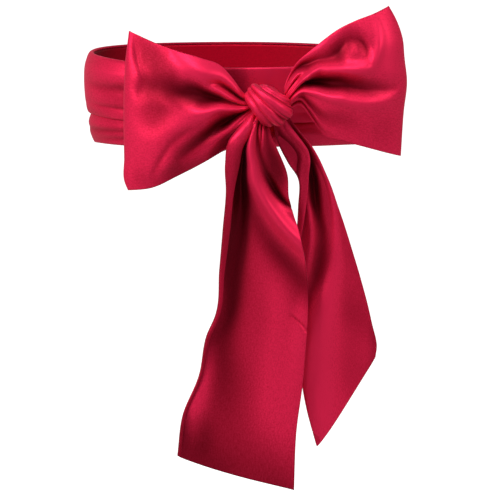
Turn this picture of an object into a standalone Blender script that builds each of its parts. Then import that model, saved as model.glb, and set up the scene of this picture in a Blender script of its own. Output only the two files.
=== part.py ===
"""Satin waist sash, wound once round the waist and tied in a bow at the front.

The sash is one long strip of cloth. Each stretch of it that shows is a solid of its own:
the band's two plies, the knot and the strands wound over it, the two loops and the two tails.
Metres, +Z up. The origin is the centre of the waist ring at half the band's height, +X is the
left-hand side of the wearer and the bow is tied at the front, towards -Y.
"""
import math

import bmesh
import bpy
import numpy as np
from mathutils import Matrix

MM = 0.001

# Driving dimensions
WALL = 1.2 * MM                # doubled satin
GAP = 0.3 * MM                 # clearance where two stretches touch
WAIST_HALF_WIDTH = 124.5 * MM  # middle of the inner ply, side to side
WAIST_HALF_DEPTH = 96.5 * MM   # middle of the inner ply, front to back
KNOT_CENTRE = (23.5 * MM, -119.6 * MM, 11.0 * MM)
KNOT_CORE_RADII = (18.0 * MM, 21.0 * MM, 13.5 * MM)   # along the strands, to the front, across
KNOT_RISE = 4.2 * MM           # how far the strands stand off the core at the most
STRAND_SLOPE = math.radians(38.0)   # the strands run down towards +X at this angle

# Grid sizes: rows along a stretch of cloth by columns across it
RING_STEPS = 56
LOOP_STEPS = 24
LOOP_COLUMNS = 14
TAIL_STEPS = 20
TAIL_FLAT_COLUMNS = 9
STRAND_STEPS = 12
STRAND_COLUMNS = 5

SATIN_RED = (0.52, 0.004, 0.035, 1.0)


def table(columns, *rows):
    """A short table: names of its columns, then a row for each section."""
    values = np.array(rows, dtype=float)
    return {name: values[:, index] for index, name in enumerate(columns.split())}


def along(sections, column, at):
    """Smooth curve through one column of a table of sections, read at any stations."""
    x = sections["at"]
    y = sections[column]
    slope = np.gradient(y, x)
    at = np.clip(at, x[0], x[-1])
    left = np.clip(np.searchsorted(x, at, side="right") - 1, 0, len(x) - 2)
    step = x[left + 1] - x[left]
    t = (at - x[left]) / step
    rise = t * t * (3 - 2 * t)
    return ((1 - rise) * y[left] + rise * y[left + 1]
            + t * (1 - t) ** 2 * step * slope[left] - t * t * (1 - t) * step * slope[left + 1])


# The band's two plies: distance out from the waist ellipse at each height, millimetres
BAND_UNDER = table("at height out",
                   (0.0, 34.9, 0.0), (0.5, -10.5, 0.0), (0.6, -14.0, 1.2),
                   (0.7, -20.0, 3.1), (0.9, -31.0, 2.2), (1.0, -37.0, -0.8))
BAND_FOLD = table("at height out",
                  (0.0, 36.4, 0.0), (0.08, 35.9, 2.2), (0.2, 30.0, 4.9), (0.4, 17.0, 6.4),
                  (0.6, 2.0, 5.8), (0.86, -8.2, 4.6), (0.94, -10.6, 3.4), (1.0, -9.6, 2.1))

# Loops: reach from the knot, top and bottom edges, plan middle and half depth, millimetres
LOOP_LEFT = table("at top bottom middle half",
                  (0.00, 14, 2, -119, 6), (0.10, 21, -14, -119, 8), (0.18, 32, -24, -119, 10),
                  (0.26, 41, -28, -119, 13), (0.42, 48, -37, -120, 19), (0.62, 54, -48, -119, 22),
                  (0.80, 60, -57, -116, 23), (1.00, 68, -61, -110, 22))
LOOP_RIGHT = table("at top bottom middle half",
                   (0.00, 24, 4, -120, 6), (0.04, 33, 6, -120, 7.5), (0.08, 39.5, 9, -120, 9),
                   (0.14, 46, 10, -120, 11), (0.22, 52, 1, -120, 14), (0.32, 59, -12, -120, 17),
                   (0.50, 70.5, -18, -120, 21), (0.68, 78, -23, -119, 23), (0.84, 82.5, -28, -115, 23),
                   (1.00, 88, -33, -110, 22))
LOOP_LEFT_END = table("at out",
                      (0.0, -88), (0.2, -91.2), (0.35, -92.4), (0.8, -92.8), (0.95, -92.6), (1.0, -90))
LOOP_RIGHT_END = table("at out",
                       (0.0, 119), (0.08, 124.5), (0.2, 130), (0.35, 132.2), (0.5, 134.3), (0.7, 132),
                       (1.0, 130))
LOOP_LEFT_ROOT = 12.0
LOOP_RIGHT_ROOT = 36.0

# Tails: left and right edges of each section from the knot to the hem, millimetres.
# Column flap is the width of the margin turned to the front at the left edge.
TAIL_LEFT = table("at left left_z right right_z front flap",
                  (0.00, 12, 6, 24, 4, -122, 8), (0.05, 3, -3, 25, -12, -131.5, 10),
                  (0.10, -8, -17, 31, -26, -134, 13), (0.16, -11, -36, 38, -44, -131, 11),
                  (0.24, -10.5, -60, 40, -66, -124, 6), (0.34, -13, -90, 49, -97, -120, 5),
                  (0.46, -16, -125, 55, -133, -118, 3.5), (0.60, -20, -165, 55, -175, -117, 3),
                  (0.65, -26.5, -180, 54, -191, -117, 3), (0.75, -32.5, -212, 51.5, -222, -117, 2.5),
                  (0.88, -46.5, -248, 46.5, -264, -117, 2.5),
                  (1.00, -51, -283, 45, -312, -118, 2.5))
TAIL_RIGHT = table("at left left_z right right_z front flap",
                   (0.00, 27, 0, 36, 6, -119, 6), (0.06, 31, -20, 43, -5, -118, 10),
                   (0.12, 39, -37, 59, -25, -114, 16), (0.20, 48, -52, 70, -48, -110, 8),
                   (0.30, 48, -76, 80.5, -76, -107, 4), (0.45, 46, -115, 94, -118, -104, 2.5),
                   (0.60, 46, -155, 103.5, -151, -103, 2.5), (0.75, 48, -195, 109, -174, -103, 2.5),
                   (0.90, 55.5, -245, 113, -192, -103, 2.5), (1.00, 64, -277.5, 112, -202, -103, 2.5))

# Gathers and folds of each stretch. A row runs from one station to another along the cloth, and
# from one place to another across it (0 to 1), bowed sideways; width is a share of the cloth's
# width, and rise is millimetres towards the front, a trough being negative.
CREASE_COLUMNS = "start end across_start across_end bow width rise"
LOOP_LEFT_CREASES = table(CREASE_COLUMNS,
                          (0.00, 0.90, 0.36, 0.06, -0.05, 0.07, 3.0),
                          (0.05, 0.98, 0.36, 0.30, -0.05, 0.08, -6.5),
                          (-0.10, 1.02, 0.44, 0.39, 0.00, 0.07, 3.5),
                          (0.00, 0.78, 0.46, 0.88, 0.00, 0.08, -6.0))
LOOP_RIGHT_CREASES = table(CREASE_COLUMNS,
                           (0.25, 0.85, 0.17, 0.17, 0.00, 0.10, -3.5),
                           (-0.10, 0.90, 0.12, 0.38, 0.03, 0.07, 3.5),
                           (0.08, 1.05, 0.42, 0.50, -0.03, 0.07, -7.0),
                           (-0.10, 1.05, 0.54, 0.57, 0.03, 0.07, 4.0))
TAIL_LEFT_CREASES = table(CREASE_COLUMNS,
                          (0.04, 0.85, 0.17, 0.25, 0.00, 0.08, -3.5),
                          (-0.05, 0.28, 0.49, 0.54, 0.00, 0.08, 3.0),
                          (0.06, 0.28, 0.78, 0.78, 0.00, 0.14, -4.5),
                          (0.15, 0.46, 0.46, 1.15, -0.05, 0.10, 3.5),
                          (0.24, 0.60, 0.38, 1.15, 0.00, 0.10, -3.0),
                          (0.50, 1.10, 0.20, 0.45, 0.00, 0.12, -2.5))
TAIL_RIGHT_CREASES = table(CREASE_COLUMNS,
                           (0.15, 1.00, 1.00, 0.25, -0.05, 0.12, 4.0),
                           (0.20, 0.95, 0.50, 0.10, 0.00, 0.12, -4.0))

LOOP_EDGE_CLOSE = 0.50         # share by which a loop's layers close up at its open edges
MARGIN_RADIUS = 1.6            # turn of a tail's folded margin, millimetres
BOW_PRESS = 0.8                # how far the bow flattens the outer ply behind it
HEM_LIFT = 0.24                # the band's lower part is this much shallower at the front
PLY_STEP = 2.0                 # least distance between the middles of the two plies, millimetres
BOW_REACH = 60.0               # to this distance either side of the knot, millimetres

# Strands wound over the knot: latitudes of their two edges about an axis across the strands,
# where they enter on the left and where they leave on the right, and the turn each covers, degrees
STRANDS = {
    "knot_strand_wide": (-46, -14, -68, -23, -80, 62),
    "knot_strand_middle": (-9, -4, -19, 10, -78, 66),
    "knot_strand_top": (3, 23, 17, 39, -76, 70),
    "knot_collar": (33, 52, 50, 72, -40, 80),
}


def relief(creases, at, across):
    """Rise of the cloth: a sum of soft ridges and troughs, each fading at both its ends."""
    rise = np.zeros(np.broadcast(at, across).shape)
    for row in zip(*(creases[name] for name in CREASE_COLUMNS.split())):
        start, end, across_start, across_end, bow, width, height = row
        part = np.clip((at - start) / (end - start), 0.0, 1.0)
        centre = across_start + (across_end - across_start) * part + 4 * bow * part * (1 - part)
        fade = np.clip(np.minimum(part, 1 - part) / 0.35, 0.0, 1.0)
        fade = fade * fade * (3 - 2 * fade)
        rise = rise + height * fade * np.exp(-((across - centre) / width) ** 2)
    return rise


def band_points(profile, pressed):
    """Rings of points round the waist, one ring for each height of the ply's profile."""
    turn = np.linspace(0, 2 * math.pi, RING_STEPS, endpoint=False)[:, None]
    front = np.clip(-np.sin(turn), 0, 1)
    height = profile["height"][None, :]
    height = height * (1 - HEM_LIFT * front * (height < 0))
    out = profile["out"][None, :]
    if pressed:
        side = WAIST_HALF_WIDTH / MM * np.cos(turn) - KNOT_CENTRE[0] / MM
        press = BOW_PRESS * front * np.exp(-(side / BOW_REACH) ** 2)
        out = np.where(out > PLY_STEP, PLY_STEP + (out - PLY_STEP) * (1 - press), out)
    x = (WAIST_HALF_WIDTH / MM + out) * np.cos(turn)
    y = (WAIST_HALF_DEPTH / MM + out) * np.sin(turn)
    return np.stack(np.broadcast_arrays(x, y, height), axis=-1)


def loop_points(sections, end_line, root, creases):
    """From the knot along the front layer, round the outer end and back along the rear layer."""
    turn = np.linspace(0, math.pi, LOOP_STEPS)[:, None]
    across = np.linspace(0, 1, LOOP_COLUMNS)[None, :]
    at = np.sin(turn)
    half = along(sections, "half", at) * np.cos(turn)
    half = half * (1 - LOOP_EDGE_CLOSE * np.abs(2 * across - 1) ** 2.5)
    front = np.clip(np.cos(turn), 0, 1)
    x = root + (along(end_line, "out", across) - root) * at
    y = along(sections, "middle", at) - half - relief(creases, at, across) * front ** 0.7
    top = along(sections, "top", at)
    z = top + (along(sections, "bottom", at) - top) * across
    return np.stack(np.broadcast_arrays(x, y, z), axis=-1)


def tail_points(sections, creases):
    """Sections from the knot to the hem, each with its margin turned to the front at the left."""
    at = np.linspace(0, 1, TAIL_STEPS)[:, None]
    left = along(sections, "left", at)
    right = along(sections, "right", at)
    flap = along(sections, "flap", at)
    turn = np.radians([90, 135, 180, 225, 270])[None, :]
    turned = MARGIN_RADIUS * (1 + np.cos(turn))
    lift = MARGIN_RADIUS * (1 + np.sin(turn))
    flat = np.linspace(0, 1, TAIL_FLAT_COLUMNS)[None, 1:]
    x = np.concatenate([left + flap,
                        left + (flap + MARGIN_RADIUS) / 2,
                        left + turned,
                        left + MARGIN_RADIUS + (right - left - MARGIN_RADIUS) * flat], axis=1)
    lifts = np.concatenate([np.full((1, 2), 2 * MARGIN_RADIUS), lift, 0 * flat], axis=1)
    across = (x - left) / (right - left)
    left_z = along(sections, "left_z", at)
    z = left_z + (along(sections, "right_z", at) - left_z) * across
    y = along(sections, "front", at) - lifts - relief(creases, at, across)
    return np.stack(np.broadcast_arrays(x, y, z), axis=-1)


def strand_points(left_low, left_high, right_low, right_high, start, end):
    """A strand lying on the knot's core: its edges are latitudes, its middle stands proud."""
    lon = np.radians(np.linspace(start, end, STRAND_STEPS))[:, None]
    across = np.linspace(0, 1, STRAND_COLUMNS)[None, :]
    share = (lon - lon[0]) / (lon[-1] - lon[0])
    share = share * share * (3 - 2 * share)
    low = left_low + (right_low - left_low) * share
    high = left_high + (right_high - left_high) * share
    lat = np.radians(low + (high - low) * across)
    proud = GAP + WALL / 2 + (KNOT_RISE - GAP - WALL) * np.sin(math.pi * across) ** 0.8
    run, front, pole = KNOT_CORE_RADII
    run = (run + proud) * np.cos(lat) * np.sin(lon)
    front = (front + proud) * np.cos(lat) * np.cos(lon)
    pole = (pole + proud) * np.sin(lat)
    x = KNOT_CENTRE[0] + run * math.cos(STRAND_SLOPE) + pole * math.sin(STRAND_SLOPE)
    y = KNOT_CENTRE[1] - front
    z = KNOT_CENTRE[2] - run * math.sin(STRAND_SLOPE) + pole * math.cos(STRAND_SLOPE)
    return np.stack([x, y, z], axis=-1) / MM


def satin():
    """The one cloth of the sash: glossy satin in raspberry red."""
    material = bpy.data.materials.new("satin_red")
    material.use_nodes = True
    surface = material.node_tree.nodes["Principled BSDF"]
    surface.inputs["Base Color"].default_value = SATIN_RED
    surface.inputs["Roughness"].default_value = 0.35
    surface.inputs["Metallic"].default_value = 0.0
    return material


def cloth(name, points, material, ring=False):
    """A wall of cloth with its middle on a grid of points in millimetres."""
    rows, columns = points.shape[:2]
    verts = (points.reshape(-1, 3) * MM).tolist()
    faces = []
    for row in range(rows if ring else rows - 1):
        below = (row + 1) % rows
        for column in range(columns - 1):
            faces.append((row * columns + column, row * columns + column + 1,
                          below * columns + column + 1, below * columns + column))
    mesh = bpy.data.meshes.new(name)
    mesh.from_pydata(verts, [], faces)
    mesh.materials.append(material)
    mesh.shade_smooth()
    piece = bpy.data.objects.new(name, mesh)
    bpy.context.collection.objects.link(piece)
    wall = piece.modifiers.new("Wall", "SOLIDIFY")
    wall.thickness = WALL
    wall.offset = 0.0
    wall.use_even_offset = True
    return piece


def ellipsoid(name, radii, segments, rings):
    """A closed ball stretched to three radii about the knot's centre."""
    mesh = bpy.data.meshes.new(name)
    ball = bmesh.new()
    bmesh.ops.create_uvsphere(ball, u_segments=segments, v_segments=rings, radius=1.0)
    bmesh.ops.scale(ball, vec=radii, verts=ball.verts)
    bmesh.ops.rotate(ball, matrix=Matrix.Rotation(STRAND_SLOPE, 3, "Y"), verts=ball.verts)
    bmesh.ops.translate(ball, vec=KNOT_CENTRE, verts=ball.verts)
    ball.to_mesh(mesh)
    ball.free()
    mesh.shade_smooth()
    piece = bpy.data.objects.new(name, mesh)
    bpy.context.collection.objects.link(piece)
    return piece


def knot_clearance(name, grow):
    """A guide a little larger than the knot's core, which other stretches stop at."""
    guide = ellipsoid(name, [radius + grow for radius in KNOT_CORE_RADII], 32, 16)
    guide.hide_render = True
    guide.display_type = "WIRE"
    return guide


def end_at_knot(piece, clearance):
    """Cut a stretch off where it goes in under the strands of the knot."""
    cut = piece.modifiers.new("End at knot", "BOOLEAN")
    cut.operation = "DIFFERENCE"
    cut.object = clearance


def build_sash():
    for item in list(bpy.data.objects):
        bpy.data.objects.remove(item)
    red = satin()

    cloth("band_under", band_points(BAND_UNDER, False), red, ring=True)
    cloth("band_fold", band_points(BAND_FOLD, True), red, ring=True)

    core = ellipsoid("knot_core", KNOT_CORE_RADII, 20, 10)
    core.data.materials.append(red)
    for name, edges in STRANDS.items():
        cloth(name, strand_points(*edges), red)

    over_strands = knot_clearance("clearance_over_strands", KNOT_RISE + GAP)
    over_core = knot_clearance("clearance_over_core", GAP)

    points = loop_points(LOOP_LEFT, LOOP_LEFT_END, LOOP_LEFT_ROOT, LOOP_LEFT_CREASES)
    end_at_knot(cloth("loop_left", points, red), over_strands)
    points = loop_points(LOOP_RIGHT, LOOP_RIGHT_END, LOOP_RIGHT_ROOT, LOOP_RIGHT_CREASES)
    end_at_knot(cloth("loop_right", points, red), over_strands)

    end_at_knot(cloth("tail_left", tail_points(TAIL_LEFT, TAIL_LEFT_CREASES), red), over_strands)
    end_at_knot(cloth("tail_right", tail_points(TAIL_RIGHT, TAIL_RIGHT_CREASES), red), over_core)


if __name__ == "__main__":
    build_sash()
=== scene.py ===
# %% [markdown]
# # A satin sash tied in a bow
# This lesson gives the looks to a satin waist sash: a band wound once round the waist, a knot at
# the front, two loops and two hanging tails. The plain solids of each stretch are already in the
# frame. Here each one is replaced by a thin shell of cloth that keeps the solid's form and adds the
# gathers, folds, rolled edges and hems that make cloth read as cloth.

# %% Load the frame and keep its box
import math

import bpy
import numpy as np
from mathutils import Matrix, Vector


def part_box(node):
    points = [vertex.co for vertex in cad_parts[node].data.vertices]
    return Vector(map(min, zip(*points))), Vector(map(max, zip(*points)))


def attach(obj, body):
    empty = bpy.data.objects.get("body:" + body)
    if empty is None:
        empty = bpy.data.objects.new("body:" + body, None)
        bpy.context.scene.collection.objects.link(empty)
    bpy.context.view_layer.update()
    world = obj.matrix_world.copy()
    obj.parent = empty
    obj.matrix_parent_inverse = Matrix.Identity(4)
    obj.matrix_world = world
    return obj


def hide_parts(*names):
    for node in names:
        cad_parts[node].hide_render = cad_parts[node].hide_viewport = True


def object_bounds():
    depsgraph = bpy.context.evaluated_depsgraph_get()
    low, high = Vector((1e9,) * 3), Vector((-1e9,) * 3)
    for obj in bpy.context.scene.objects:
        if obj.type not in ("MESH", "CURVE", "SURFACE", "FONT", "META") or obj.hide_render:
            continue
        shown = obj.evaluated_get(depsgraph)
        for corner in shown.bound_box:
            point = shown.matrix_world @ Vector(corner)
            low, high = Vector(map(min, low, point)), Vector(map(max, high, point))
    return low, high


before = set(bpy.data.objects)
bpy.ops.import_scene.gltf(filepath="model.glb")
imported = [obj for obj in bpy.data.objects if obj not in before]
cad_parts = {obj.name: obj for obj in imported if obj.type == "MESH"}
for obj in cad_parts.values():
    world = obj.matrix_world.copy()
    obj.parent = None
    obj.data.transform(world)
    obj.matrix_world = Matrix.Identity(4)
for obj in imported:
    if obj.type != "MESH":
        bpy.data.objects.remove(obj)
cad_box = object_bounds()
print("frame nodes:", sorted(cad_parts))
print("frame box, m:", cad_box)

# %% [markdown]
# ## Camera, floor and light
# The sash hangs as if worn, so the camera looks slightly down on the waist with a long lens, which
# keeps the ring's near and far sides nearly the same size. A long lens is chosen instead of an
# orthographic one because the loops are a little nearer than the band and should look so.

# %% Camera
MM = 0.001
CAMERA_PLACE = (8.5 * MM, -2120 * MM, 273.5 * MM)
CAMERA_DOWN = math.radians(10.82)
CAMERA_LENS = 180.9            # millimetres, on a sensor of the next width
SENSOR_WIDTH = 36.0
CLIP_NEAR = 0.1
CLIP_FAR = 30.0


def add(name, data):
    """Put a new object with this data into the scene."""
    thing = bpy.data.objects.new(name, data)
    bpy.context.collection.objects.link(thing)
    return thing


lens = bpy.data.cameras.new("camera")
lens.lens = CAMERA_LENS
lens.sensor_width = SENSOR_WIDTH
lens.clip_start = CLIP_NEAR
lens.clip_end = CLIP_FAR
camera = add("camera", lens)
camera.location = CAMERA_PLACE
camera.rotation_euler = (math.radians(90) - CAMERA_DOWN, 0.0, 0.0)
bpy.context.scene.camera = camera
print("camera distance from the origin, m:", round(Vector(CAMERA_PLACE).length, 3))

# %% [markdown]
# The floor runs into a backdrop by one soft bend, so there is no line behind the sash. Round it the
# light is broad and pale: satin shows whatever it mirrors, and a big soft source gives the long
# highlights along the folds.

# %% Floor and backdrop
FLOOR_DROP = 0.25              # below the lowest hem
SWEEP_HALF_WIDTH = 12.0        # wide and deep enough to fill a view from any side
SWEEP_FRONT = -8.0
SWEEP_BACK = 3.6
SWEEP_BEND = 1.2
SWEEP_HEIGHT = 4.0
SWEEP_STEPS = 24
PAPER_ROUGHNESS = 0.9
PAPER_GREY = (0.35, 0.35, 0.35, 1.0)
WHITE = (1.0, 1.0, 1.0, 1.0)
PAPER_SEEN = 1.0
PAPER_MIRRORED = 0.35
PAPER_LAMP = 0.04


def give(node, values):
    """Set a node's inputs from a table of their names."""
    for name, value in values.items():
        node.inputs[name].default_value = value


def math_node(tree, operation, *inputs):
    """Math node; each input is a number, or the output that feeds it."""
    node = tree.nodes.new("ShaderNodeMath")
    node.operation = operation
    for socket, given in zip(node.inputs, inputs):
        if isinstance(given, float):
            socket.default_value = given
        else:
            tree.links.new(given, socket)
    return node.outputs["Value"]


def map_range(tree, value, low, high, to_low, to_high):
    """Carry a value from the span low to high onto the span to_low to to_high."""
    node = tree.nodes.new("ShaderNodeMapRange")
    tree.links.new(value, node.inputs["Value"])
    give(node, {"From Min": low, "From Max": high, "To Min": to_low, "To Max": to_high})
    return node.outputs["Result"]


def new_material(name):
    """A material with nodes: returns it, its node tree and its surface node."""
    material = bpy.data.materials.new(name)
    material.use_nodes = True
    return material, material.node_tree, material.node_tree.nodes["Principled BSDF"]


def lit_paper():
    """White paper with its own light on it: bright to look at, dimmer in mirrors and as a lamp."""
    material, tree, surface = new_material("lit_paper")
    give(surface, {"Base Color": PAPER_GREY, "Roughness": PAPER_ROUGHNESS, "Emission Color": WHITE})
    path = tree.nodes.new("ShaderNodeLightPath").outputs
    mirrored = math_node(tree, "MULTIPLY_ADD", path["Is Glossy Ray"], PAPER_MIRRORED, PAPER_LAMP)
    seen = math_node(tree, "MULTIPLY_ADD", path["Is Camera Ray"], PAPER_SEEN, mirrored)
    tree.links.new(seen, surface.inputs["Emission Strength"])
    return material


def backdrop():
    """Floor line, quarter circle, then wall: a profile in Y and Z, drawn out along X."""
    floor = cad_box[0][2] - FLOOR_DROP
    bend = np.linspace(0, math.pi / 2, SWEEP_STEPS)
    y = np.concatenate([[SWEEP_FRONT], SWEEP_BACK - SWEEP_BEND * (1 - np.sin(bend)), [SWEEP_BACK]])
    z = floor + np.concatenate([[0.0], SWEEP_BEND * (1 - np.cos(bend)), [SWEEP_HEIGHT]])
    x = np.array([-SWEEP_HALF_WIDTH, SWEEP_HALF_WIDTH])[None, :]
    grid = np.stack(np.broadcast_arrays(x, y[:, None], z[:, None]), axis=-1)
    rows = len(y)
    faces = [(2 * i, 2 * i + 1, 2 * i + 3, 2 * i + 2) for i in range(rows - 1)]
    mesh = bpy.data.meshes.new("backdrop")
    mesh.from_pydata(grid.reshape(-1, 3).tolist(), [], faces)
    mesh.shade_smooth()
    mesh.materials.append(lit_paper())
    sweep = add("backdrop", mesh)
    return floor


print("floor height, m:", round(backdrop(), 3))

# %% Lights
WORLD_STRENGTH = 0.06
AIM = Vector((0.01, -0.06, -0.08))
SOFTBOXES = (
    # name, place, size, watts
    ("side_left", (-1.7, -1.1, 0.8), 1.1, 36),
    ("above_front", (0.0, -1.2, 2.1), 0.9, 34),
    ("side_right", (1.7, -0.8, 0.9), 0.9, 16),
)


def softbox(name, place, size, watts):
    """A square area light that faces the middle of the sash."""
    light = bpy.data.lights.new(name, "AREA")
    light.size = size
    light.energy = watts
    lamp = add(name, light)
    lamp.location = place
    lamp.rotation_euler = (AIM - Vector(place)).to_track_quat("-Z", "Y").to_euler()


for box in SOFTBOXES:
    softbox(*box)

world = bpy.data.worlds.new("pale_room")
world.use_nodes = True
give(world.node_tree.nodes["Background"], {"Color": WHITE, "Strength": WORLD_STRENGTH})
bpy.context.scene.world = world
bpy.context.scene.view_settings.view_transform = "Standard"   # keeps a deep red as deep as it is

# %% [markdown]
# ## The satin
# Satin is woven with long floats, so one side is a field of nearly parallel threads. It mirrors
# light softly and in its own colour, and it turns pale where it is seen edge on. A weave could be
# modelled thread by thread, but threads are a tenth of a millimetre, so they are bump and tone here,
# laid out on each piece's own cloth coordinates, which are metres along and across the strip.

# %% Weave group
THREAD_PITCH = 0.35 * MM       # one float and its neighbour
SLUB_LENGTH = 5.0 * MM         # thicker stretches of thread
SLUB_WIDTH = 0.8 * MM
GRAIN_SIZE = 1.5 * MM
RIB_SCALE = 0.05               # turns a thread pitch into the wave texture's scale
RIB_WANDER = 1.5
GRAIN_TONE = 0.9               # share of the grain in the tone
RIB_HEIGHT = 0.35              # share of the ribs in the height


def group_socket(group, name, direction, kind, value=None):
    """Add one named socket to a node group."""
    socket = group.interface.new_socket(name=name, in_out=direction, socket_type=kind)
    if value is not None:
        socket.default_value = value


def weave_group():
    """Height and tone of satin: fine slanting ribs of floats, plus long faint slubs."""
    group = bpy.data.node_groups.new("satin_weave", "ShaderNodeTree")
    group_socket(group, "Cloth", "INPUT", "NodeSocketVector")
    group_socket(group, "Slub Strength", "INPUT", "NodeSocketFloat", 1.0)
    group_socket(group, "Height", "OUTPUT", "NodeSocketFloat")
    group_socket(group, "Tone", "OUTPUT", "NodeSocketFloat")
    nodes = group.nodes
    links = group.links
    into = nodes.new("NodeGroupInput")
    out = nodes.new("NodeGroupOutput")

    ribs = nodes.new("ShaderNodeTexWave")
    ribs.bands_direction = "DIAGONAL"
    give(ribs, {"Scale": RIB_SCALE / THREAD_PITCH, "Distortion": RIB_WANDER, "Detail": 1.0})
    links.new(into.outputs["Cloth"], ribs.inputs["Vector"])

    stretch = nodes.new("ShaderNodeMapping")
    give(stretch, {"Scale": (1 / SLUB_WIDTH, 1 / SLUB_LENGTH, 1.0)})
    links.new(into.outputs["Cloth"], stretch.inputs["Vector"])
    slubs = nodes.new("ShaderNodeTexNoise")
    give(slubs, {"Scale": 1.0, "Detail": 3.0})
    links.new(stretch.outputs["Vector"], slubs.inputs["Vector"])

    grain = nodes.new("ShaderNodeTexNoise")
    give(grain, {"Scale": 1 / GRAIN_SIZE, "Detail": 2.0})
    links.new(into.outputs["Cloth"], grain.inputs["Vector"])

    uneven = math_node(group, "MULTIPLY", slubs.outputs["Fac"], into.outputs["Slub Strength"])
    tone = math_node(group, "MULTIPLY_ADD", grain.outputs["Fac"], GRAIN_TONE, uneven)
    height = math_node(group, "MULTIPLY_ADD", ribs.outputs["Fac"], RIB_HEIGHT, tone)
    links.new(height, out.inputs["Height"])
    links.new(tone, out.inputs["Tone"])
    return group


WEAVE = weave_group()
print("weave group sockets:", [item.name for item in WEAVE.interface.items_tree])

# %% [markdown]
# One material serves every stretch, because it is one strip of cloth. Part of its gloss is
# metallic, which tints the highlights red as satin's own threads do, and a pale sheen lightens the
# edges. A second version is duller, and its darker reds are painted shade, for the inside of the band
# and of the loops. The depth of each fold is stored with the mesh and picks painted shade in the
# hollows and a painted highlight on the crests, which makes the folds read more strongly than light
# alone does, but it is fixed to the cloth and doesn't follow the lamps.

# %% Satin materials
# Painted shade: the near black red that a full hollow is mixed towards
RED_PAINTED_SHADE = (0.06, 0.0, 0.002, 1.0)
RED_DEEP = (0.38, 0.0, 0.008, 1.0)
RED_BRIGHT = (0.80, 0.018, 0.078, 1.0)
# The inside satin's reds are darker as painted shade
INSIDE_SHADED_DEEP = (0.24, 0.0, 0.004, 1.0)
INSIDE_SHADED_BRIGHT = (0.48, 0.001, 0.016, 1.0)
CREST_PAINTED_HIGHLIGHT = 0.55           # painted highlight: how far a crest moves towards the bright red
HOLLOW_PAINTED_SHADE = 0.85           # painted shade: how far a full hollow moves towards the shade's red
PAINTED_SHADE_START = -0.05           # the share of relief at which the painted shade starts
SLUB_STRENGTH = 0.8
GLOSS_SPREAD = 0.05            # roughness moves this much either way with the tone
TONE_LOW = 0.2
BUMP_STRENGTH = 0.25
BUMP_DEPTH = 0.06 * MM
SURFACE_VALUES = {
    "Specular IOR Level": 0.25,
    "Specular Tint": (1.0, 0.25, 0.4, 1.0),
    "Sheen Weight": 0.05,
    "Sheen Roughness": 0.35,
    "Sheen Tint": (1.0, 0.45, 0.62, 1.0),
}


def satin(name, deep, bright, roughness, metallic, relief="fold"):
    """Raspberry satin: tone and relief pick the colour, relief as painted shade and highlight; the weave is
    bump.
    """
    material, tree, surface = new_material(name)
    nodes = tree.nodes
    links = tree.links
    cloth_map = nodes.new("ShaderNodeUVMap")
    cloth_map.uv_map = "cloth"
    weave = nodes.new("ShaderNodeGroup")
    weave.node_tree = WEAVE
    give(weave, {"Slub Strength": SLUB_STRENGTH})
    links.new(cloth_map.outputs["UV"], weave.inputs["Cloth"])

    colour = nodes.new("ShaderNodeMix")
    colour.data_type = "RGBA"
    give(colour, {"A": deep, "B": bright})
    # Painted shade and highlight: the stored relief moves crests to the bright red and hollows to the dark
    lie = nodes.new("ShaderNodeAttribute")
    lie.attribute_name = relief
    crest_highlight = math_node(tree, "MULTIPLY_ADD", lie.outputs["Fac"], CREST_PAINTED_HIGHLIGHT, weave.outputs["Tone"])
    links.new(crest_highlight, colour.inputs["Factor"])
    hollow_shade = map_range(tree, lie.outputs["Fac"], -1.0, PAINTED_SHADE_START, HOLLOW_PAINTED_SHADE, 0.0)
    hollow = nodes.new("ShaderNodeMix")
    hollow.data_type = "RGBA"
    give(hollow, {"B": RED_PAINTED_SHADE})
    links.new(hollow_shade, hollow.inputs["Factor"])
    links.new(colour.outputs["Result"], hollow.inputs["A"])
    links.new(hollow.outputs["Result"], surface.inputs["Base Color"])

    dull = map_range(tree, weave.outputs["Tone"], TONE_LOW, 1.0,
                     roughness + GLOSS_SPREAD, roughness - GLOSS_SPREAD)
    links.new(dull, surface.inputs["Roughness"])

    bump = nodes.new("ShaderNodeBump")
    give(bump, {"Strength": BUMP_STRENGTH, "Distance": BUMP_DEPTH})
    links.new(weave.outputs["Height"], bump.inputs["Height"])
    links.new(bump.outputs["Normal"], surface.inputs["Normal"])

    give(surface, {"Metallic": metallic, **SURFACE_VALUES})
    return material


SATIN = satin("satin_red", RED_DEEP, RED_BRIGHT, 0.50, 0.45)
# The inside: a duller satin whose darker reds and "inner" attribute are painted shade
SATIN_INSIDE_DULL_SHADED = satin("satin_inside_dull_shaded", INSIDE_SHADED_DEEP, INSIDE_SHADED_BRIGHT, 0.55, 0.40, "inner")
print("satin made:", SATIN.name, SATIN_INSIDE_DULL_SHADED.name)

# %% [markdown]
# ## Cloth as a grid
# Every stretch is a surface of two parameters: `at` runs along the strip and `across` runs from one
# long edge to the other. Short tables give its sections, and a smooth curve through a column of the
# table gives the value at any station.

# %% Tables and curves
def table(columns, *rows):
    """A short table: names of its columns, then a row for each section."""
    values = np.array(rows, dtype=float)
    return {name: values[:, index] for index, name in enumerate(columns.split())}


def along(sections, column, at):
    """Cubic through one column: value and slope match at each row, slope from its neighbours."""
    x = sections["at"]
    y = sections[column]
    slope = np.gradient(y, x)
    at = np.clip(at, x[0], x[-1])
    left = np.clip(np.searchsorted(x, at, side="right") - 1, 0, len(x) - 2)
    step = x[left + 1] - x[left]
    t = (at - x[left]) / step
    rise = t * t * (3 - 2 * t)
    return ((1 - rise) * y[left] + rise * y[left + 1]
            + t * (1 - t) ** 2 * step * slope[left] - t * t * (1 - t) * step * slope[left + 1])


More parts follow.
